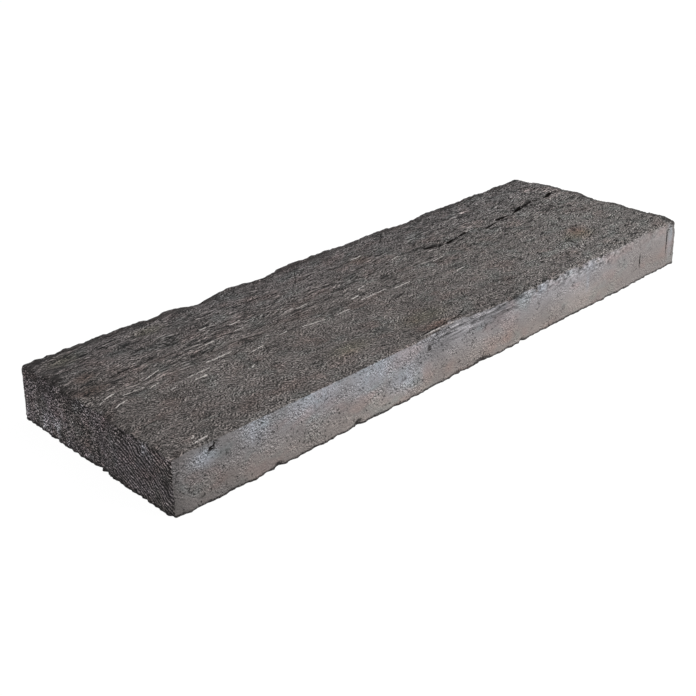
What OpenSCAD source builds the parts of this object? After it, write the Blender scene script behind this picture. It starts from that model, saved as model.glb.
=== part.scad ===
// Timber-effect concrete stepping stone: a plank wet-cast in one piece, in a mould
// taken from a weathered railway sleeper.
// X runs along the plank, the near end is at -X, the walking face is up, and the
// flat underside lies on Z = 0. Lengths are millimetres.

/* [Plank] */
// Length of the plank
plank_length = 758; // [500:1:1200]
// Width of the plank at its underside
plank_width = 230; // [180:5:320]
// Thickness from the underside to the highest grain ridge
plank_height = 58; // [40:1:90]
// How far each wall leans in between the underside and the walking face
mould_draft = 1.5; // [0:0.25:4]

/* [Edges] */
// Radius of the top edges and of the upright corners
edge_radius = 3; // [2:0.5:14]
// Depth of the deepest hollow worn into a top edge
edge_wear = 6; // [0:0.5:9]
// How far a worn hollow reaches in from its edge
wear_reach = 24; // [18:1:40]
// How far the walls wander in from a straight line
wall_wander = 1; // [0:0.25:4]
// Length of one wander along a wall
wander_length = 170; // [80:5:300]

/* [Walking face] */
// Height of the broad grain ridges above their valleys
ridge_height = 1.5; // [0:0.25:5]
// Distance from one grain ridge to the next
ridge_pitch = 38; // [20:1:60]
// Sideways drift of the grain along the plank
grain_drift = 14; // [0:1:40]
// Depth of the deepest dent worn between the edges
dent_depth = 2; // [0:0.25:5]
// Distance from one dent to the next along the grain
dent_length = 36; // [24:1:80]
// Distance from one dent to the next across the grain
dent_width = 20; // [16:1:40]
// Short waver of the grain and of the split to each side of their course
grain_waver = 2; // [0:0.5:6]

/* [Drying split] */
// Depth of the split where it opens widest
split_depth = 9; // [0:0.5:20]
// Width of the split at the walking face
split_width = 5; // [2:0.5:10]
// Distance of the split from the centre line at the near end
split_near_y = 34; // [28:1:50]
// Distance of the split from the centre line at the far end
split_far_y = 55; // [28:1:60]
// How late along the plank the split turns aside: a straight slant at 1, a sharp turn above
split_turn = 6; // [1:0.5:8]

/* [End check] */
// Depth of the check that runs down the near end
check_depth = 2.5; // [0:0.5:10]
// Width of the check
check_width = 8; // [4:0.5:16]
// Distance of the check from the centre line, towards the back
check_y = -7; // [-30:1:8]

/* [Mesh] */
// Longest step between points along the plank
step_along = 11; // [9:1:30]
// Longest step between points across the walking face and up the walls
step_across = 8; // [7:1:20]

/* [Hidden] */

// Depth of the cast that is struck off to leave the underside flat
strike_off = mould_draft + 2;

half_length = plank_length / 2;
half_width = plank_width / 2;
half_check = check_width / 2;
half_split = split_width / 2;

// Hollows worn into each top edge: place along the edge as a share of its half length,
// reach to each side of that place in wear_reaches, depth as a share of edge_wear
back_hollows = [
    [-0.62, 0.9, 0.4], [-0.47, 1.5, 0.8], [-0.24, 1.5, 0.6], [0.1, 0.9, 0.2],
    [0.36, 1.7, 0.5], [0.77, 1, 0.2], [0.99, 0.9, 1]
];
front_hollows = [[-0.8, 1.2, 0.2], [0.02, 5.4, 1], [0.7, 1.7, 0.2], [0.98, 1.1, 0.4]];
near_hollows = [[0, 3, 1], [-0.55, 1.6, 0.6], [0.85, 1, 0.1]];
far_hollows = [
    [0.95, 1.6, 1], [0.6, 1.8, 0.9], [0.28, 1.5, 0.5], [-0.04, 1.5, 1],
    [-0.4, 1.3, 0.7], [-0.7, 1.3, 0.4], [-0.97, 1, 0.4]
];

// Stretches where the drying split opens: middle and reach as shares of the length from the
// near end, depth beyond the shallow groove as a share of split_depth
openings = [[0.69, 0.06, 0.4], [0.845, 0.075, 0.85], [0.95, 0.035, 0.4]];

function clamp(v, low, high) = min(max(v, low), high);

// A smooth bump that is 1 in its middle and 0 from its reach outwards
function bump(distance, reach) = abs(distance) < reach ? (1 + cos(180 * distance / reach)) / 2 : 0;

// Even places from one value to another in a given number of steps
function spaced(from, to, steps) = [for (i = [0 : steps]) from + (to - from) * i / steps];
function steps_in(span, step) = max(1, ceil(span / step));

// Total depth of a list of hollows at a place along their edge
function worn(hollows, place, half) =
    edge_wear * min(1, sum([for (h = hollows) h[2] * bump(place - h[0] * half, h[1] * wear_reach)]));
function sum(list, i = 0) = i < len(list) ? list[i] + sum(list, i + 1) : 0;

// Share of the length, from 0 at the near end to 1 at the far end
function along(x) = clamp(0.5 + x / plank_length, 0, 1);

// How far a wall wanders in, after a number of wanders along it
function wander(turns) = wall_wander * (1 + sin(360 * turns)) / 2;

// Course of the drying split and of the check, and sideways drift of the grain
function waver(x) = grain_waver * sin(360 * x / wander_length);
function split_line(x) = split_near_y + (split_far_y - split_near_y) * pow(along(x), split_turn) - waver(x);
function check_line(x) = check_y - half_check * along(x);
function drift(x) = grain_drift * sin(180 * x / plank_length) + waver(x);

// Depth of the split along the plank: a shallow groove apart from its openings
function split_opening(x) =
    split_depth * (0.15 + sum([for (o = openings) o[2] * bump(along(x) - o[0], o[1])]));

// Valleys between the grain ridges, from 0 on a ridge to 1 in a valley: two waves across
// the plank and one on the slant, so that no two ridges are alike
function valley(x, y) =
    0.5 - 0.2 * sin(360 * (y + drift(x)) / ridge_pitch)
    - 0.15 * sin(360 * (y - drift(x) / 2) / (1.7 * ridge_pitch) + 70)
    - 0.15 * sin(360 * (y / 2 + x / 6) / ridge_pitch);

// Chance number from 0 to 1 at one knot of a net over the walking face, the same at each build
function chance(i, j) = rands(0, 1, 1, 1000 * i + j)[0];
function blend(a, b, share) = a + (b - a) * (1 - cos(180 * share)) / 2;

// Dents worn into the walking face, from 0 where it is whole to 1 at the deepest: the chance
// numbers above a half, blended from knot to knot
function dent(x, y) =
    let (
        u = x / dent_length,
        v = (y + drift(x)) / dent_width,
        i = floor(u),
        j = floor(v),
        front = blend(chance(i, j), chance(i + 1, j), u - i),
        back = blend(chance(i, j + 1), chance(i + 1, j + 1), u - i)
    )
    max(0, 2 * blend(front, back, v - j) - 1);

// A point of the square-edged block, moved onto rounded top edges and upright corners
function rounded(p) =
    let (
        core = [
            clamp(p.x, edge_radius - half_length, half_length - edge_radius),
            clamp(p.y, edge_radius - half_width, half_width - edge_radius),
            min(p.z, plank_height - edge_radius)
        ],
        out = p - core
    )
    core + edge_radius * out / norm(out);

// A point of the rounded block, moved by draft, wander, wear, grain ridges, dents, split and check
function weathered(p) =
    let (
        q = rounded(p),
        up = q.z / plank_height,
        lean = mould_draft * up,
        wall = lean + wander(q.x / wander_length + (q.y > 0 ? 0 : 0.36)),
        end = lean + wander(2 * q.y / wander_length + (q.x > 0 ? 0 : 0.22)),
        top_near = bump(plank_height - q.z, wear_reach),
        side_near = bump(half_width - abs(q.y), wear_reach),
        end_near = bump(half_length - abs(q.x), wear_reach),
        long_wear = top_near * side_near * worn(q.y > 0 ? back_hollows : front_hollows, q.x, half_length),
        end_wear = top_near * end_near * worn(q.x > 0 ? far_hollows : near_hollows, q.y, half_width),
        dents = dent_depth * dent(q.x, q.y) * (1 - side_near) * (1 - end_near),
        split = split_opening(p.x) * bump(p.y - split_line(p.x), half_split),
        check = check_depth * bump(p.y - check_line(p.x), half_check),
        check_in = check * (q.x > 0 ? 0 : end_near),
        check_drop = check * bump(half_length + q.x, 4 * wear_reach) / 2,
        drop = ridge_height * valley(q.x, q.y) + dents + split + check_drop
    )
    [
        q.x * (1 - end / half_length) - sign(q.x) * end_wear * cos(45) + check_in,
        q.y * (1 - wall / half_width) - sign(q.y) * long_wear * cos(45),
        q.z - drop * up - (long_wear + end_wear) * cos(45)
    ];

// Lines of points along, across and up the block, closer where an edge turns
edge_places = [for (a = [45, 30, 15]) edge_radius * (1 - tan(a))];
far_places = [for (i = [2 : -1 : 0]) -edge_places[i]];
front_steps = steps_in(half_width + check_y, step_across);
middle_steps = steps_in(split_near_y - check_y, step_across);
back_steps = steps_in(half_width - split_near_y, step_across);
x_lines = concat(
    [for (e = edge_places) e - half_length],
    spaced(edge_radius - half_length, half_length - edge_radius, steps_in(plank_length, step_along)),
    [for (e = far_places) e + half_length]
);
function y_lines(x) = concat(
    [for (e = edge_places) e - half_width],
    spaced(edge_radius - half_width, check_line(x) - half_check, front_steps),
    [check_line(x)],
    spaced(check_line(x) + half_check, split_line(x) - half_split, middle_steps),
    [split_line(x)],
    spaced(split_line(x) + half_split, half_width - edge_radius, back_steps),
    [for (e = far_places) e + half_width]
);
z_lines = concat(
    spaced(-strike_off, plank_height - edge_radius, steps_in(plank_height, 2 * step_across)),
    [for (e = far_places) e + plank_height]
);
nx = len(x_lines);
ny = len(y_lines(0));
nz = len(z_lines);

// The five weathered faces as grids of points, row by row
walking_face = [for (x = x_lines, y = y_lines(x)) weathered([x, y, plank_height])];
front_wall = [for (x = x_lines, z = z_lines) weathered([x, -half_width, z])];
back_wall = [for (x = x_lines, z = z_lines) weathered([x, half_width, z])];
near_end = [for (y = y_lines(-half_length), z = z_lines) weathered([-half_length, y, z])];
far_end = [for (y = y_lines(half_length), z = z_lines) weathered([half_length, y, z])];

// Triangles of one grid whose points start at first, turned over where it faces the other way
function grid(rows, columns, first, turned = false) = [
    for (r = [0 : rows - 2], c = [0 : columns - 2])
        let (a = first + r * columns + c, b = a + 1, d = a + columns, e = d + 1)
        each turned ? [[a, e, b], [a, d, e]] : [[a, b, e], [a, e, d]]
];

// The weathered plank as it stands in the mould, down to the face that is struck off
module cast_plank() {
    front_first = nx * ny;
    back_first = front_first + nx * nz;
    near_first = back_first + nx * nz;
    far_first = near_first + ny * nz;
    underside = concat(
        [for (i = [0 : nx - 1]) front_first + i * nz],
        [for (j = [1 : ny - 1]) far_first + j * nz],
        [for (i = [nx - 2 : -1 : 0]) back_first + i * nz],
        [for (j = [ny - 2 : -1 : 1]) near_first + j * nz]
    );
    polyhedron(
        points = concat(walking_face, front_wall, back_wall, near_end, far_end),
        faces = concat(
            grid(nx, ny, 0),
            grid(nx, nz, front_first),
            grid(nx, nz, back_first, turned = true),
            grid(ny, nz, near_first, turned = true),
            grid(ny, nz, far_first),
            [underside]
        )
    );
}

module stepping_stone() {
    color("dimgray")
        difference() {
            cast_plank();
            translate([-plank_length, -plank_width, -plank_height])
                cube([2 * plank_length, 2 * plank_width, plank_height]);
        }
}

stepping_stone();
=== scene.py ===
"""Looks of a timber-effect concrete stepping stone.

The cast stone is draped with a fine lattice, which takes the relief that the mould copied from a
weathered sleeper: grain, splits, crumbled edges and pits. Lengths are millimetres, up to the point
where the mesh is made.
"""

import math
from itertools import product

import bpy
import numpy as np
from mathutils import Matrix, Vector
from mathutils.bvhtree import BVHTree


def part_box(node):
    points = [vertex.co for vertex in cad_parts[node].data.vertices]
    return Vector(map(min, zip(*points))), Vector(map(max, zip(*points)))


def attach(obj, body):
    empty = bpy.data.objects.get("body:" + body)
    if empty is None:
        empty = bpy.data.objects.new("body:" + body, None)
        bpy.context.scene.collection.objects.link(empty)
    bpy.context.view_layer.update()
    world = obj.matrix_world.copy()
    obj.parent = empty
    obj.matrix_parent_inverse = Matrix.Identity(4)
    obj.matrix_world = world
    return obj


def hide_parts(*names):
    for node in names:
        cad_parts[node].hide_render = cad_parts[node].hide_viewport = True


MM = 0.001
NODE = "stepping_stone"

# Steps of the fine lattice along, across and up the stone
LATTICE_STEP = np.array([2.45, 1.2, 1.6])
# Width of the band in which the lattice turns over an edge, how far off the stone its rays start, and
# how high over the underside they run at least
EDGE_BAND = 14
RAY_START = 5
RAY_LIFT = 0.3
# Smoothing passes that take the facets off the draped lattice
SMOOTHING = 4

# Middle of the growth rings in the end grain, across and up, and the distance between rings
PITH = (20, -135)
RING_PITCH = 3.3

# Half-widths of the marks
SPLIT_WIDTH = 3.8
GROOVE_WIDTH = 2.2
DASH_WIDTH = 1.45
WALL_GROOVE_WIDTH = 1.8

# Marks on the walking face, each from x, y to x, y: parts of the main split with their strength,
# short dark grooves, and pale dashes along the ridges. The split and the grooves are painted dark as the
# shade inside them, and the dashes are painted highlights on the ridges
SPLITS = [
    (93, 38, 115, 33, 0.9), (123, 30, 133, 32, 1.1), (133, 32, 163, 37, 1.2), (188, 26, 214, 32, 0.9),
    (220, 37, 237, 37, 1), (237, 37, 259, 39, 1.2), (259, 39, 276, 44, 3), (280, 45, 300, 48, 0.75),
    (305, 48, 312, 46, 0.8), (332, 47, 346, 51, 1),
]
GROOVES = [
    (-332, 37, -284, 37), (-258, 50, -240, 58), (-295, 58, -280, 59), (-226, -9, -214, -6),
    (-214, 43, -204, 44), (-64, 42, -46, 43), (-64, 33, -46, 34), (-30, 34, -2, 34),
    (-38, 44, -32, 47), (-14, 50, 10, 52), (27, 38, 33, 40), (-6, -5, 10, -4),
    (-30, -31, -14, -28), (89, -82, 100, -79), (108, 31, 121, 36), (67, 85, 88, 104),
    (-76, 70, -58, 90), (-82, -106, -20, -100), (-20, -100, 0, -95), (195, -34, 203, -32),
    (252, -18, 259, -18), (252, -71, 276, -64), (280, 13, 320, 9), (205, -96, 209, -92),
    (264, -100, 270, -98), (298, -105, 307, -103), (124, 62, 131, 66), (157, 51, 164, 53),
    (246, 6, 253, 8), (79, 43, 86, 45),
]
DASHES = [
    (-364, 5, -347, 7), (-345, -1, -320, 0), (-318, -6, -308, -4), (-359, -13, -346, -11),
    (-311, 10, -294, 15), (-284, -15, -258, -14), (-282, -23, -268, -22), (-309, -22, -303, -22),
    (-254, -4, -226, -4), (-211, -17, -196, -16), (-169, -10, -159, -9), (-140, -11, -112, -13),
    (-96, -14, -77, -13), (-62, 1, -50, 2), (-54, -7, -18, -8), (-10, -12, 12, -12),
    (-186, 44, -174, 45), (-193, 29, -180, 31), (-232, 24, -222, 25), (-217, 53, -208, 55),
    (-156, 66, -146, 68), (-130, 26, -120, 26), (-118, 23, -102, 24), (-42, 11, -30, 14),
    (42, 41, 54, 44), (10, 73, 24, 73), (70, 6, 90, 8), (70, -28, 82, -27),
    (-348, -106, -334, -105), (-345, -98, -341, -97), (-229, -39, -225, -37), (-76, -106, -22, -104),
]

# Soft oval patches on the walking face: place and reach, along and across
TOP_BROWN = [
    (-356, 28, 26, 16), (-350, 50, 18, 12), (15, 66, 26, 18), (258, -50, 28, 20), (-40, -100, 40, 9),
]
TOP_OLIVE = [
    (-346, 92, 30, 16), (-140, -76, 40, 18), (-252, 88, 30, 14), (-40, -80, 50, 20), (250, -60, 40, 18),
]
TOP_SHADE = [(-352, 26, 36, 20), (-255, 52, 28, 14)]

# Grooves, pits and soft patches on the front wall, by x and z
WALL_GROOVES = [
    (299, 42, 302, 13), (357, 48, 358, 8), (372, 46, 372, 10), (-338, 49, -333, 51),
    (-337, 47, -334, 48), (-332, 53, -331, 57),
]
WALL_PITS = [
    (-336, 49, 6, 5), (-331, 55, 4, 6), (232, 44, 3, 3), (245, 48, 3, 4),
    (-166, 4, 6, 4), (-266, 3, 4, 3), (-68, 44, 5, 7),
]
WALL_BLOOM = [
    (-217, 54, 60, 26), (-290, 54, 26, 30), (-140, 50, 60, 34), (-100, 26, 45, 24),
    (196, 50, 18, 12), (108, 51, 18, 10), (194, 34, 5, 22), (364, 38, 8, 34), (-344, 44, 24, 13),
]
WALL_SHADE = [(-64, 44, 60, 26), (25, 44, 64, 20)]
WALL_LIGHT = [(-280, 18, 60, 34), (-130, 8, 90, 24), (185, 14, 90, 30)]
WALL_BROWN = [
    (-322, 18, 26, 14), (-42, 12, 18, 11), (53, 14, 14, 12), (18, 8, 14, 7), (230, 10, 60, 10),
    (330, 18, 50, 16),
]

# Pits and soft patches on the near end, by y and z
END_PITS = [
    (8, 29, 5, 5), (-12, 33, 5, 7), (-103, 27, 6, 13), (62, 31, 4, 3), (30, 52, 18, 7), (75, 45, 14, 6),
]
END_BLOOM = [(75, 12, 60, 18), (40, 6, 60, 12), (-75, 48, 18, 9)]
END_SHADE = [(-80, 28, 40, 20)]

# Chips out of the foot: place along it, reach and depth, on the near end by y and the front wall by x
END_CHIPS = [(-17, 8, 1.2)]
WALL_CHIPS = [(-266, 8, 1.5), (-167, 7, 1.5), (-24, 8, 1), (12, 16, 1.5), (77, 6, 1)]

# Tones of the concrete as they show on screen, from 0 to 255
TOP_DARK = (87, 82, 80)
TOP_LIGHT = (100, 95, 93)
TOP_FAR = (101, 98, 96)
WALL_LOW = (138, 130, 126)
WALL_HIGH = (146, 144, 147)
WALL_CLOUD = (112, 108, 108)
WALL_NEAR = (104, 100, 99)
WALL_FAR = (132, 126, 124)
END_DARK = (61, 57, 56)
END_LIGHT = (75, 70, 72)
BLOOM = (150, 153, 160)
# Pale tone of the painted highlights on the dashes along the ridges
PAINTED_HIGHLIGHT = (212, 206, 202)
# Dark of soot and of painted shade: on the rear rim, in the pits and chips and along the foot
SOOT_AND_SHADE = (34, 30, 29)
# Near-black of the painted shade inside the splits and grooves, and of a painted contact shadow along the
# foot
OPENING_SHADE = (16, 14, 13)
# Tints that the tones are multiplied by
BACK_TINT = (0.8, 0.8, 0.83, 1)
WARM_TINT = (1.09, 0.95, 0.92, 1)
COOL_TINT = (0.93, 1.03, 1.03, 1)
BROWN_TINT = (0.9, 0.74, 0.67, 1)
OLIVE_TINT = (0.98, 1.0, 0.86, 1)

# Sizes of the grains and small ridges for each axis, and the turns of the crossed ridges in degrees.
# The ridges are painted with a lit and a shaded side
GRIT = (0.9, 0.8, 0.8)
POCK = (1.8, 1.8, 1.8)
CROSSED_RIDGE = (1.8, 0.8, 0.8)
SHORT_RIDGE = (3, 0.8, 0.8)
LONG_RIDGE = (9, 1, 1)
SIDE_RIDGE = (1, 1, 1)
CROSSING = (36, -32)

# Camera of the photograph
CAMERA_PLACE = (-0.8261, -0.7636, 0.5581)
CAMERA_TILT = (62.705, 0, -44.823)
LENS, SENSOR = 60.236, 36


def tone(shown):
    """Linear colour of a tone that is given as it shows on screen, from 0 to 255."""
    shares = [c / 255 for c in shown]
    return (*(s / 12.92 if s <= 0.04045 else ((s + 0.055) / 1.055) ** 2.4 for s in shares), 1)


# Fields over the stone

def ease(value, low, high):
    """Smooth step from 0 at low to 1 at high."""
    share = np.clip((value - low) / (high - low), 0, 1)
    return share * share * (3 - 2 * share)


def bump(distance, reach):
    """Smooth bump that is 1 in its middle and 0 from its reach outwards."""
    return np.where(np.abs(distance) < reach, (1 + np.cos(np.pi * distance / reach)) / 2, 0)


def strokes(x, y, marks, width):
    """Share of straight marks: 1 on a middle line, 0 a width away, times a mark's strength if given."""
    share = np.zeros(len(x))
    for x0, y0, x1, y1, *strength in marks:
        length = (x1 - x0) ** 2 + (y1 - y0) ** 2
        part = np.clip(((x - x0) * (x1 - x0) + (y - y0) * (y1 - y0)) / length, 0, 1)
        away = np.hypot(x - x0 - part * (x1 - x0), y - y0 - part * (y1 - y0))
        share = np.maximum(share, bump(away, width) * (strength[0] if strength else 1))
    return share


def patches(x, y, spots):
    """Share from 0 to 1 of soft oval spots, each a place and its reach in two directions."""
    share = np.zeros(len(x))
    for at_x, at_y, reach_x, reach_y in spots:
        share = np.maximum(share, bump(np.hypot((x - at_x) / reach_x, (y - at_y) / reach_y), 1))
    return share


def noise(points, pitch, seed):
    """Smooth random field from about -1 to 1. The pitch is one length, or one for each axis."""
    rng = np.random.default_rng(seed)
    order = rng.permutation(256)
    slopes = rng.normal(size=(256, 3))
    slopes /= np.linalg.norm(slopes, axis=1)[:, None]
    scaled = points / np.asarray(pitch, float)
    cell = np.floor(scaled).astype(int)
    part = scaled - cell
    share = part ** 3 * (part * (part * 6 - 15) + 10)
    total = np.zeros(len(points))
    for corner in product((0, 1), repeat=3):
        x, y, z = ((cell + corner) & 255).T
        slope = slopes[order[(order[(order[x] + y) & 255] + z) & 255]]
        weight = np.prod(np.where(corner, share, 1 - share), axis=1)
        total += weight * np.sum(slope * (part - corner), axis=1)
    return 1.5 * total


# Lattice over the stone

def quads(numbers, turned=False):
    """Quads of one face from its grid of vertex numbers."""
    corners = [numbers[:-1, :-1], numbers[1:, :-1], numbers[1:, 1:], numbers[:-1, 1:]]
    made = np.stack(corners, axis=-1).reshape(-1, 4)
    return made[:, ::-1] if turned else made


def lattice(low, high):
    """Points on the top and the walls of a box, the quads that join them, and the rim of the underside."""
    counts = np.ceil((high - low) / LATTICE_STEP).astype(int) + 1
    shell = np.zeros(counts, bool)
    shell[[0, -1]] = True
    shell[:, [0, -1]] = True
    shell[:, :, -1] = True
    number = np.full(counts, -1)
    number[shell] = np.arange(shell.sum())
    points = low + np.argwhere(shell) / (counts - 1) * (high - low)
    top, front, back = number[:, :, -1], number[:, 0], number[:, -1]
    near, far = number[0], number[-1]
    faces = np.concatenate([
        quads(top), quads(front), quads(back, turned=True), quads(near, turned=True), quads(far)
    ])
    rim = np.concatenate([near[:-1, 0], back[:-1, 0], far[:0:-1, 0], front[:0:-1, 0]])
    return points, faces, rim


def drape(points, low, high, solid):
    """Moves the lattice of a box inwards onto the cast stone, turning over the edges."""
    core = np.clip(points, low + EDGE_BAND, high - EDGE_BAND)
    core[:, 2] = np.minimum(points[:, 2], high[2] - EDGE_BAND)
    inward = core - points
    inward /= np.linalg.norm(inward, axis=1)[:, None]
    start = points - RAY_START * inward
    start[:, 2] = np.maximum(start[:, 2], low[2] + RAY_LIFT)
    tree = BVHTree.FromObject(solid, bpy.context.evaluated_depsgraph_get())
    draped = points.copy()
    for i, (origin, direction) in enumerate(zip(start * MM, inward)):
        hit = tree.ray_cast(Vector(origin), Vector(direction))[0]
        if hit is None:
            hit = tree.find_nearest(Vector(points[i] * MM))[0]
        draped[i] = np.array(hit) / MM
    draped[points[:, 2] == low[2], 2] = low[2]
    return draped


def smoothed(points, faces, rim, passes):
    """The lattice with each point eased towards its neighbours. The rim keeps its height."""
    pairs = np.concatenate([faces[:, [0, 1]], faces[:, [1, 2]], faces[:, [2, 3]], faces[:, [3, 0]]])
    pairs = np.concatenate([pairs, pairs[:, ::-1]])
    degree = np.bincount(pairs[:, 0])
    height = points[rim, 2]
    for _ in range(passes):
        around = [np.bincount(pairs[:, 0], points[pairs[:, 1], axis]) / degree for axis in range(3)]
        points = (points + np.stack(around, axis=1)) / 2
        points[rim, 2] = height
    return points


def normals(points, faces):
    """Outward direction at each point."""
    corner = points[faces]
    area = np.cross(corner[:, 2] - corner[:, 0], corner[:, 3] - corner[:, 1])
    total = [np.bincount(faces.ravel(), np.repeat(area[:, axis], 4)) for axis in range(3)]
    total = np.stack(total, axis=1)
    return total / np.linalg.norm(total, axis=1)[:, None]


# Relief and finish of the stone

def walking_face(points):
    """Relief of the top: long fibres, open crevices, grit, and crumbs that grow towards the far end."""
    x = points[:, 0]
    fibres = 0.4 * noise(points, (46, 4.2, 4.2), 2) + 0.2 * noise(points, (12, 2.6, 2.6), 3)
    open_here = ease(noise(points, (22, 10, 10), 5), -0.1, 0.25)
    crevices = open_here * ease(-np.abs(noise(points, (34, 6, 6), 4)), -0.1, -0.02)
    grit = 0.2 * noise(points, 2.8, 6)
    crumbs = (0.3 + 0.7 * ease(x, 40, 260)) * np.abs(noise(points, (9, 6, 6), 8))
    return fibres + grit - 0.8 * crevices - crumbs


def broken_edges(points, high):
    """Relief of the edges and the foot, and the share from 0 to 1 of the front edge with its slivers."""
    x, y, z = points.T
    depth = high[2] - z
    front = bump(high[1] + y, 26) * bump(depth, 26) * ease(x, -95, -60)
    layers = 2 * np.abs(noise(points, (75, 3.4, 3.4), 9)) - 0.6
    lumps = 1.2 * noise(points, (12, 8, 8), 25) + 0.7 * noise(points, 5, 26)
    slivers = front * (layers + ease(x, 60, 150) * (lumps - layers))
    near = bump(high[0] + x, 26) * bump(depth, 36) * ease(high[1] - y, 4, 26)
    crumbs = 3 * noise(points, 17, 10) + 2 * noise(points, 7, 24) - 1.5 * np.abs(noise(points, 5, 18))
    back = bump(high[1] - y, 14) * bump(depth, 16) * (1.3 * noise(points, 9, 11) + noise(points, 5, 27))
    far = bump(high[0] - x, 14) * bump(depth, 16) * (1.3 * noise(points, 9, 17) + 1.2)
    foot = bump(z, 6) * (1.6 * noise(points, (9, 8, 8), 12) + 1.3 * noise(points, 4.5, 19))
    return slivers + near * crumbs + back + far + foot + corners(points, high), front


def corners(points, high):
    """Relief of the two upright corners at the front, which are rounder than the rest."""
    x, y, _ = points.T
    near_front = bump(np.hypot(x + high[0], y + high[1]), 14)
    far_front = bump(np.hypot(x - high[0], y + high[1]), 14)
    return -2.5 * near_front - far_front


def foot_chips(points, high):
    """Depth of the chips out of the foot."""
    x, y, z = points.T
    depth = np.zeros(len(points))
    for at, reach, most in END_CHIPS:
        depth += most * bump(y - at, reach) * (x < 4 - high[0])
    for at, reach, most in WALL_CHIPS:
        depth += most * bump(x - at, reach) * (y < 4 - high[1])
    return depth * bump(z, 8)


def rear_edges(grid, high):
    """Share from 0 to 1 of the rim of the top at the back and the far end, by places on the lattice."""
    x, y, z = (grid - high).T
    return ease(np.maximum(x, y), -18, -8) * ease(z, -9, -3)


def face_shares(points, outward, high, near_edge, blotches):
    """Shares from 0 to 1 of the walking face, the ends and the long walls, with ragged borders."""
    x, y, z = points.T
    front_edge = bump(high[1] + y, 36) * bump(high[2] - z, 36)
    lean = ease(x, 20, 130) * (0.7 * blotches + 0.35) - 0.5 * bump(x + 25, 75)
    frayed = 0.12 * noise(points, (7, 4, 4), 1)
    up = outward[:, 2] + frayed + 0.5 * near_edge * blotches + front_edge * lean
    inside = ease(np.minimum(high[0] - np.abs(x), high[1] - np.abs(y)), 12, 22)
    top = np.maximum(ease(up, 0.56, 0.68), inside)
    end = (1 - top) * ease(np.abs(outward[:, 0]), 0.5, 0.8)
    return top, end, np.clip(1 - top - end, 0, 1)


def weather(points, outward, high, rear):
    """Height of the relief at each point, and the masks that the material reads."""
    x, y, z = points.T
    near_edge = bump(high[0] + x, 40) * bump(high[2] - z, 40)
    blotches = noise(points, 13, 22) + 0.6 * noise(points, 5, 23)
    top, end, wall = face_shares(points, outward, high, near_edge, blotches)
    front_wall = wall * (y < 0)
    near_end = end * (x < 0)

    sway = 2 * noise(points, (30, 90, 90), 20) + noise(points, (9, 90, 90), 21)
    split = strokes(x, y - 1 + 0.3 * sway, SPLITS, SPLIT_WIDTH)
    groove = 0.72 * strokes(x, y + sway, GROOVES, GROOVE_WIDTH)
    dash = strokes(x, y + 0.3 * sway, DASHES, DASH_WIDTH)
    wall_groove = strokes(x, z + sway, WALL_GROOVES, WALL_GROOVE_WIDTH)
    wall_pit = patches(x, z, WALL_PITS)
    end_pit = patches(y, z, END_PITS)

    edges, slivers = broken_edges(points, high)
    smooth_wall = 0.4 * noise(points, (30, 20, 20), 13) + 0.25 * noise(points, 4, 14)
    rough_end = 0.8 * noise(points, 7, 15) + 0.6 * noise(points, 3, 16)
    chips = foot_chips(points, high)
    height = top * (walking_face(points) - 0.3 * split - groove) + edges - chips
    height += wall * smooth_wall - front_wall * (wall_groove + 1.5 * wall_pit)
    height += end * rough_end - near_end * 1.6 * end_pit

    open_marks = top * (split + groove) + front_wall * wall_groove
    # Dark band along the foot and in its chips: dirt, and painted shade where the stone meets the floor;
    # half of it also paints a contact shadow in the dark mask
    foot = wall * ease(-z, -3.5, -1.5) + end * ease(-z, -4.5, -2) + 1.5 * chips
    # Darker in blotches along the near top edge, with painted shade in the pits, along the foot, and on
    # the rear rim where the top turns away from the light
    soot_and_shade = 0.9 * near_edge * ease(blotches + 0.6 * ease(y, -30, 60), 0.1, 0.8) + near_end * end_pit
    soot_and_shade += foot + rear * (0.8 + 0.6 * blotches) + 1.2 * front_wall * wall_pit
    wall_shade = patches(x, z, WALL_SHADE) - 0.6 * patches(x, z, WALL_LIGHT)
    shade = top * patches(x, y, TOP_SHADE) + front_wall * wall_shade + near_end * patches(y, z, END_SHADE)
    # The dark mask paints the shade inside the splits and grooves and, at half strength, a contact shadow
    # along the foot; the pale mask paints highlights on the dashes
    masks = {
        "wall": wall,
        "end": end,
        "relief": np.clip(height, -1.5, 1.5),
        "dark": np.clip(open_marks + 0.5 * np.clip(foot, 0, 1), 0, 1),
        "pale": top * dash,
        "soot_and_shade": np.clip(soot_and_shade, 0, 1),
        "brown": top * patches(x, y, TOP_BROWN) + 0.25 * front_wall * patches(x, z, WALL_BROWN),
        "olive": top * patches(x, y, TOP_OLIVE),
        "bloom": front_wall * patches(x, z, WALL_BLOOM) + near_end * patches(y, z, END_BLOOM),
        "shade": shade,
        "comb": near_end * ease(-y, -10, 60),
        "sliver": slivers * (1 - 0.6 * ease(x, 200, 300)),
        "felt": ease(-y, -20, 30),
    }
    return height, masks


def make_stone(low, high, solid):
    """The weathered stone as one closed mesh."""
    grid, faces, rim = lattice(low, high)
    points = smoothed(drape(grid, low, high, solid), faces, rim, SMOOTHING)
    outward = normals(points, faces)
    height, masks = weather(points, outward, high, rear_edges(grid, high))
    outward[rim, 2] = 0
    points = points + outward * height[:, None]
    mesh = bpy.data.meshes.new("weathered_stone")
    mesh.from_pydata((points * MM).tolist(), [], faces.tolist() + [rim.tolist()])
    mesh.polygons.foreach_set("use_smooth", [True] * len(faces) + [False])
    for name, values in masks.items():
        mesh.attributes.new(name, "FLOAT", "POINT").data.foreach_set("value", values.astype(np.float32))
    stone = bpy.data.objects.new("weathered_stone", mesh)
    bpy.context.scene.collection.objects.link(stone)
    return stone


# Material

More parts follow.
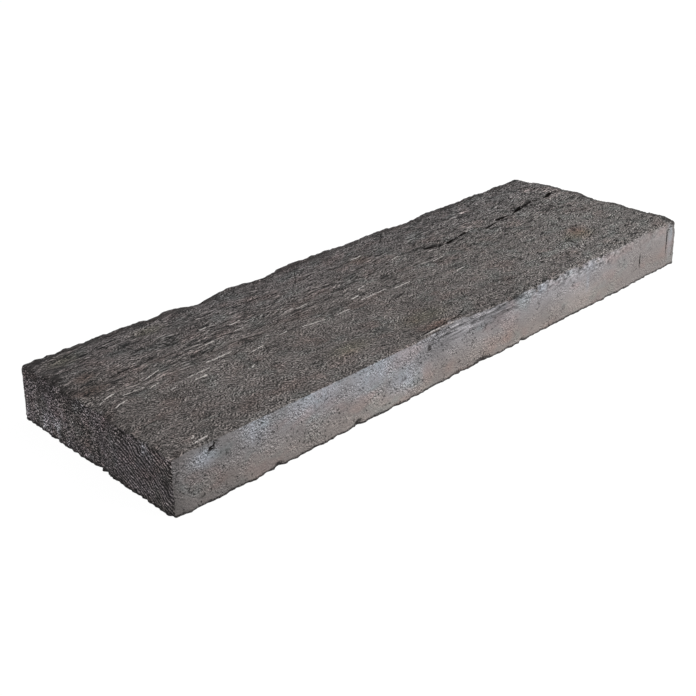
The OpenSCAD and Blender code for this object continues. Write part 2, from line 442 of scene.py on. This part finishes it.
class Nodes:
    """Short forms for building a node tree."""

    def __init__(self, tree):
        self.tree = tree
        tree.nodes.clear()

    def add(self, kind, inputs, **settings):
        """A new node with its settings, and with numbers or links on its inputs."""
        made = self.tree.nodes.new("ShaderNode" + kind)
        for name, value in settings.items():
            setattr(made, name, value)
        for name, value in inputs.items():
            if isinstance(value, bpy.types.NodeSocket):
                self.tree.links.new(value, made.inputs[name])
            else:
                made.inputs[name].default_value = value
        return made

    def math(self, operation, *values):
        return self.add("Math", dict(enumerate(values)), operation=operation).outputs[0]

    def vector(self, operation, a, b):
        return self.add("VectorMath", {0: a, 1: b}, operation=operation).outputs[0]

    def along(self, vector):
        """How far a place lies along the stone."""
        return self.add("SeparateXYZ", {0: vector}).outputs[0]

    def noise(self, vector, pitch, detail=2.0):
        """Noise from 0 to 1 with the given pitch for each axis."""
        scaled = self.vector("DIVIDE", vector, pitch)
        return self.add("TexNoise", {"Vector": scaled, "Scale": 1.0, "Detail": detail}).outputs["Fac"]

    def cells(self, vector, pitch):
        """Small cells of the given size for each axis, each with its own value from 0 to 1."""
        scaled = self.vector("DIVIDE", vector, pitch)
        colour = self.add("TexVoronoi", {"Vector": scaled, "Scale": 1.0}).outputs["Color"]
        return self.add("SeparateColor", {0: colour}).outputs[0]

    def ridges(self, vector, size, beside):
        """Small ridges with a painted lit side and a painted shaded side, from -1 to 1: cells less those
        beside them.
        """
        moved = self.vector("ADD", vector, beside)
        return self.math("SUBTRACT", self.cells(vector, size), self.cells(moved, size))

    def lines(self, vector, pitch, width):
        """Thin lines along the middle height of a noise, from 0 to 1."""
        off = self.math("ABSOLUTE", self.math("SUBTRACT", self.noise(vector, pitch, 1.0), 0.5))
        return self.ramp(off, 0, width, 1, 0)

    def swing(self, value, gain):
        """A field from 0 to 1 as a swing to each side of 0."""
        return self.math("MULTIPLY_ADD", value, gain, -gain / 2)

    def ramp(self, value, low, high, to_low=0.0, to_high=1.0):
        """A smooth step between two numbers, over a range of the value."""
        inputs = {"Value": value, 1: low, 2: high, 3: to_low, 4: to_high}
        return self.add("MapRange", inputs, interpolation_type="SMOOTHSTEP").outputs[0]

    def blend(self, share, a, b, kind="MIX"):
        """A colour that goes from a to b, or to what the kind makes of both."""
        inputs = {0: share, 6: a, 7: b}
        return self.add("Mix", inputs, data_type="RGBA", blend_type=kind).outputs[2]

    def mix(self, share, a, b):
        """A number that goes from a to b."""
        return self.add("Mix", {0: share, 2: a, 3: b}, data_type="FLOAT").outputs[0]

    def turned(self, vector, degrees):
        """A place turned about the vertical."""
        inputs = {"Vector": vector, "Angle": math.radians(degrees)}
        return self.add("VectorRotate", inputs, rotation_type="Z_AXIS").outputs[0]

    def times(self, colour, value):
        """A colour made lighter or darker by a number."""
        grey = self.add("CombineColor", {0: value, 1: value, 2: value}).outputs[0]
        return self.blend(1.0, colour, grey, "MULTIPLY")

    def mask(self, name):
        """One of the masks that the mesh carries."""
        return self.add("Attribute", {}, attribute_name=name).outputs["Fac"]


def ring_wave(n, place):
    """Combed growth rings round the pith, from 0 to 1."""
    across = n.vector("SUBTRACT", place, (0, *PITH))
    flat = n.vector("MULTIPLY", across, (0, 1, 1))
    distance = n.add("VectorMath", {0: flat}, operation="LENGTH").outputs["Value"]
    waver = n.swing(n.noise(place, (9, 9, 9)), 4)
    turns = n.math("DIVIDE", n.math("ADD", distance, waver), RING_PITCH)
    wave = n.math("SINE", n.math("MULTIPLY", turns, 2 * math.pi))
    return n.math("MULTIPLY_ADD", wave, 0.5, 0.5)


def base_tone(n, place, wall, end):
    """Colour without grain or patches: dark on top, paler on the mould walls, darkest on the end grain."""
    along, across, height = n.add("SeparateXYZ", {0: place}).outputs
    mottle = n.ramp(n.noise(place, (60, 26, 26), 3), 0.35, 0.65)
    top_tone = n.blend(mottle, tone(TOP_DARK), tone(TOP_LIGHT))
    top_tone = n.blend(n.ramp(along, -100, 300, 0, 0.6), top_tone, tone(TOP_FAR))
    top_tone = n.blend(n.ramp(across, 0, 100), top_tone, BACK_TINT, "MULTIPLY")
    wall_tone = n.blend(n.ramp(height, 10, 48), tone(WALL_LOW), tone(WALL_HIGH))
    cloud = n.ramp(n.noise(place, (26, 26, 16), 3), 0.35, 0.65, 0, 0.35)
    wall_tone = n.blend(cloud, wall_tone, tone(WALL_CLOUD))
    wall_tone = n.blend(n.ramp(along, -380, -100, 0.75, 0), wall_tone, tone(WALL_NEAR))
    wall_tone = n.blend(n.ramp(along, 160, 300, 0, 0.8), wall_tone, tone(WALL_FAR))
    end_tone = n.blend(mottle, tone(END_DARK), tone(END_LIGHT))
    colour = n.blend(wall, top_tone, wall_tone)
    return n.blend(end, colour, end_tone)


def patched(n, place, colour, end):
    """A colour with its soft patches: bloom, warm and cool, shade, brown and olive."""
    streaks = n.ramp(n.noise(place, (12, 12, 40)), 0.35, 0.65, 0.45, 0.9)
    bloom = n.math("MULTIPLY", n.mask("bloom"), n.math("MULTIPLY_ADD", end, -0.66, streaks))
    colour = n.blend(bloom, colour, tone(BLOOM))
    warm = n.ramp(n.noise(place, (34, 20, 20), 2), 0.5, 0.7, 0, 0.6)
    cool = n.ramp(n.noise(n.turned(place, 90), (20, 34, 20), 2), 0.5, 0.7, 0, 0.8)
    colour = n.blend(warm, colour, WARM_TINT, "MULTIPLY")
    colour = n.blend(cool, colour, COOL_TINT, "MULTIPLY")
    colour = n.times(colour, n.math("MULTIPLY_ADD", n.mask("shade"), -0.3, 1.0))
    colour = n.blend(n.mask("brown"), colour, BROWN_TINT, "MULTIPLY")
    return n.blend(n.mask("olive"), colour, OLIVE_TINT, "MULTIPLY")


def top_ridges(n, place):
    """Small ridges of the walking face with painted lit and shaded sides: crossed at the front, and lying
    along it in bands at the back.
    """
    either = n.ramp(n.noise(place, (9, 9, 9)), 0.48, 0.52)
    slanted = [n.ridges(n.turned(place, angle), CROSSED_RIDGE, (0, 1.6, 0)) for angle in CROSSING]
    crossed = n.mix(either, *slanted)
    short = n.ridges(place, SHORT_RIDGE, (0, 1.6, 0))
    long = n.ridges(place, LONG_RIDGE, (0, 2, 0))
    lying = n.mix(n.ramp(n.noise(place, (60, 12, 12)), 0.5, 0.56), short, long)
    patchy = n.ramp(n.noise(place, (34, 13, 13), 2), 0.46, 0.56, 0, 0.8)
    return n.mix(n.math("MAXIMUM", n.mask("felt"), patchy), lying, crossed)


def flecks_and_ridge_shade(n, place, grit, wall, end):
    """Swing of the grit, small ridges and fibres, lively on the near end and calm on the walls. The ridges
    paint light and shade on their sides.
    """
    along = n.along(place)
    lit = n.ridges(place, SIDE_RIDGE, (0.6, 0, 1.1))
    ridge = n.mix(n.math("MAXIMUM", wall, end), top_ridges(n, place), lit)
    specks = n.math("MULTIPLY_ADD", n.math("POWER", grit, 0.55), 1.0, -0.65)
    grain_and_shade = n.math("MULTIPLY_ADD", ridge, n.mix(n.mask("felt"), 1.35, 1.0), specks)
    grain_and_shade = n.math("MULTIPLY", grain_and_shade, n.ramp(along, 0, 300, 1, 1.25))
    grain_and_shade = n.math("MULTIPLY", grain_and_shade, n.ramp(n.noise(place, (24, 14, 14), 2), 0.4, 0.6, 0.85, 1.05))
    grain_and_shade = n.math("ADD", grain_and_shade, n.swing(n.noise(place, (34, 3, 3), 3), 0.3))
    patchy = n.ramp(n.noise(place, (30, 30, 18)), 0.42, 0.58, 0.5, 1.5)
    grain_and_shade = n.math("MULTIPLY", grain_and_shade, n.mix(wall, 1.0, patchy))
    calm = n.math("MULTIPLY", wall, n.ramp(along, -100, 200, -0.67, -0.84))
    lively = n.math("MULTIPLY", end, n.ramp(along, -200, 200, 1.25, 0))
    lively = n.math("ADD", n.math("ADD", calm, lively), 1.0)
    lively = n.math("MULTIPLY_ADD", n.mask("comb"), -0.7, lively)
    grain_and_shade = n.math("MULTIPLY", grain_and_shade, lively)
    return n.math("MULTIPLY_ADD", n.mask("comb"), n.swing(ring_wave(n, place), 1.8), grain_and_shade)


def edge_layers(n, place):
    """Swing of the broken front edge: thin layers at first, and lumps farther along."""
    along = n.along(place)
    layers = n.swing(n.noise(place, (30, 2.4, 2.4), 2), 2.2)
    layers = n.math("MULTIPLY_ADD", n.lines(place, (60, 3.5, 3.5), 0.05), -0.6, layers)
    lumps = n.math("MINIMUM", n.swing(n.noise(place, (5, 2.6, 2.6), 2), 2.4), 0.3)
    return n.math("MULTIPLY", n.mask("sliver"), n.mix(n.ramp(along, 40, 130), layers, lumps))


def openings(n, place, wall):
    """Depth of small dark openings, painted dark as the shade inside them: curled strokes on the walls,
    crumbs and cracks on the rest.
    """
    along = n.along(place)
    curls = n.ramp(n.noise(place, (16, 16, 16)), 0.45, 0.6, 0, 0.35)
    curls = n.math("MULTIPLY", curls, n.lines(place, (8, 8, 8), 0.03))
    pocks = n.ramp(n.cells(place, POCK), 0, 0.05, 0.45, 0)
    curls = n.math("MULTIPLY_ADD", pocks, n.ramp(along, -50, 200, 1, 0.2), curls)
    crumbs = n.ramp(n.noise(place, (8, 6, 6), 1), 0.61, 0.69, 0, 0.7)
    crumbs = n.math("MULTIPLY", crumbs, n.ramp(along, -60, 180))
    cracks = n.math("MAXIMUM", n.lines(place, (90, 8, 8), 0.06), n.lines(place, (18, 3, 3), 0.05))
    cracks = n.math("MULTIPLY", cracks, n.ramp(n.noise(place, (18, 6, 6)), 0.48, 0.6, 0, 0.8))
    cracks = n.math("MULTIPLY", cracks, n.mix(n.mask("felt"), 1.0, 0.4))
    return n.mix(wall, n.math("ADD", crumbs, cracks), curls)


def marks(n, colour, grit):
    """A colour with the pale dashes painted as highlights, the soot and painted shade, and the dark
    openings painted with the shade inside them, each broken up by the grit.
    """
    pale = n.ramp(n.math("MULTIPLY_ADD", grit, 0.6, n.mask("pale")), 0.75, 1.05, 0, 0.95)
    colour = n.blend(pale, colour, tone(PAINTED_HIGHLIGHT))
    soot_and_shade = n.ramp(n.math("ADD", n.mask("soot_and_shade"), grit), 1.0, 1.4, 0, 0.8)
    colour = n.blend(soot_and_shade, colour, tone(SOOT_AND_SHADE))
    dark = n.ramp(n.math("MULTIPLY_ADD", grit, 0.35, n.mask("dark")), 0.6, 0.85, 0, 0.97)
    return n.blend(dark, colour, tone(OPENING_SHADE))


def concrete():
    """Through-coloured concrete with the flecks and fibres of the timber that it was cast from, and with
    painted light and shade: on the sides of small ridges, in the openings, and from the relief's height.
    """
    material = bpy.data.materials.new("weathered_concrete")
    material.use_nodes = True
    n = Nodes(material.node_tree)
    place = n.vector("MULTIPLY", n.add("TexCoord", {}).outputs["Object"], (1 / MM,) * 3)
    wall, end = n.mask("wall"), n.mask("end")
    grit = n.cells(place, GRIT)
    grain_and_shade = n.math("ADD", flecks_and_ridge_shade(n, place, grit, wall, end), edge_layers(n, place))
    grain_and_shade = n.math("SUBTRACT", grain_and_shade, openings(n, place, wall))
    # Painted light and shade from the relief: the rises are lighter and the hollows darker
    shade = n.math("MULTIPLY_ADD", n.mask("relief"), 0.05, grain_and_shade)
    shade = n.math("POWER", n.math("MAXIMUM", n.math("ADD", shade, 0.95), 0.1), 2.2)
    colour = patched(n, place, base_tone(n, place, wall, end), end)
    colour = marks(n, n.times(colour, shade), grit)
    rough = n.add("Bump", {"Height": grain_and_shade, "Strength": 0.6, "Distance": 0.5 * MM})
    shader = n.add("BsdfPrincipled", {
        "Base Color": colour,
        "Roughness": 0.88,
        "Specular IOR Level": n.ramp(n.mask("dark"), 0.4, 0.8, 0.3, 0),
        "Normal": rough.outputs[0],
    })
    n.add("OutputMaterial", {"Surface": shader.outputs[0]})
    return material


# Stage

def seen_by_eye(n):
    """1 for rays that show the background itself, to the eye or in a reflection."""
    path = n.add("LightPath", {})
    eye = n.math("MAXIMUM", path.outputs["Is Camera Ray"], path.outputs["Is Glossy Ray"])
    return n.math("MAXIMUM", eye, path.outputs["Is Transmission Ray"])


def make_floor():
    """A floor that is white to the eye and keeps a faint shadow."""
    reach = 6.0
    mesh = bpy.data.meshes.new("floor")
    corners = [(-reach, -reach, 0), (reach, -reach, 0), (reach, reach, 0), (-reach, reach, 0)]
    mesh.from_pydata(corners, [], [(0, 1, 2, 3)])
    floor = bpy.data.objects.new("floor", mesh)
    bpy.context.scene.collection.objects.link(floor)
    material = bpy.data.materials.new("white_floor")
    material.use_nodes = True
    n = Nodes(material.node_tree)
    plain = n.add("BsdfDiffuse", {"Color": (0.8, 0.8, 0.8, 1)})
    faint = n.add("BsdfDiffuse", {"Color": (0.08, 0.08, 0.08, 1)})
    glow = n.add("Emission", {"Color": (1, 1, 1, 1), "Strength": 0.96})
    bright = n.add("AddShader", {0: faint.outputs[0], 1: glow.outputs[0]})
    both = n.add("MixShader", {0: seen_by_eye(n), 1: plain.outputs[0], 2: bright.outputs[0]})
    n.add("OutputMaterial", {"Surface": both.outputs[0]})
    mesh.materials.append(material)


def make_world():
    """White to the eye, and an even soft light on the stone."""
    world = bpy.data.worlds.new("studio")
    world.use_nodes = True
    n = Nodes(world.node_tree)
    ambient = n.add("Background", {"Color": (1, 1, 1, 1), "Strength": 0.62})
    white = n.add("Background", {"Color": (1, 1, 1, 1), "Strength": 1.0})
    both = n.add("MixShader", {0: seen_by_eye(n), 1: ambient.outputs[0], 2: white.outputs[0]})
    n.add("OutputWorld", {"Surface": both.outputs[0]})
    bpy.context.scene.world = world


def make_lamp(name, place, target, size, power):
    """A square soft light that faces a point."""
    light = bpy.data.lights.new(name, "AREA")
    light.size = size
    light.energy = power
    lamp = bpy.data.objects.new(name, light)
    lamp.location = place
    lamp.rotation_euler = (Vector(target) - Vector(place)).to_track_quat("-Z", "Y").to_euler()
    bpy.context.scene.collection.objects.link(lamp)


def make_camera():
    """The camera as it stood for the photograph."""
    data = bpy.data.cameras.new("camera")
    data.lens = LENS
    data.sensor_width = SENSOR
    camera = bpy.data.objects.new("camera", data)
    camera.location = CAMERA_PLACE
    camera.rotation_euler = [math.radians(a) for a in CAMERA_TILT]
    bpy.context.scene.collection.objects.link(camera)
    bpy.context.scene.camera = camera


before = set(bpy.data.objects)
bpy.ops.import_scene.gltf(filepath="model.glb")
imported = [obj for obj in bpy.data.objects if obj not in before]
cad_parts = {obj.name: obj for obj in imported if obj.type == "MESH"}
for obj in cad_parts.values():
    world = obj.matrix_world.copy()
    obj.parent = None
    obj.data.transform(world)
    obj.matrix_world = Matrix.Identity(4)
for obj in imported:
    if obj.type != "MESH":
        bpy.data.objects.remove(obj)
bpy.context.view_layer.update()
box_low, box_high = (np.array(corner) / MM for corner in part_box(NODE))

stone = make_stone(box_low, box_high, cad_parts[NODE])
stone.data.materials.append(concrete())
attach(stone, "root")
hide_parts(NODE)

make_floor()
make_world()
make_lamp("key", place=(0.9, -1.5, 1.1), target=(0.1, 0, 0.03), size=1.2, power=30)
make_camera()
bpy.context.scene.view_settings.view_transform = "Standard"
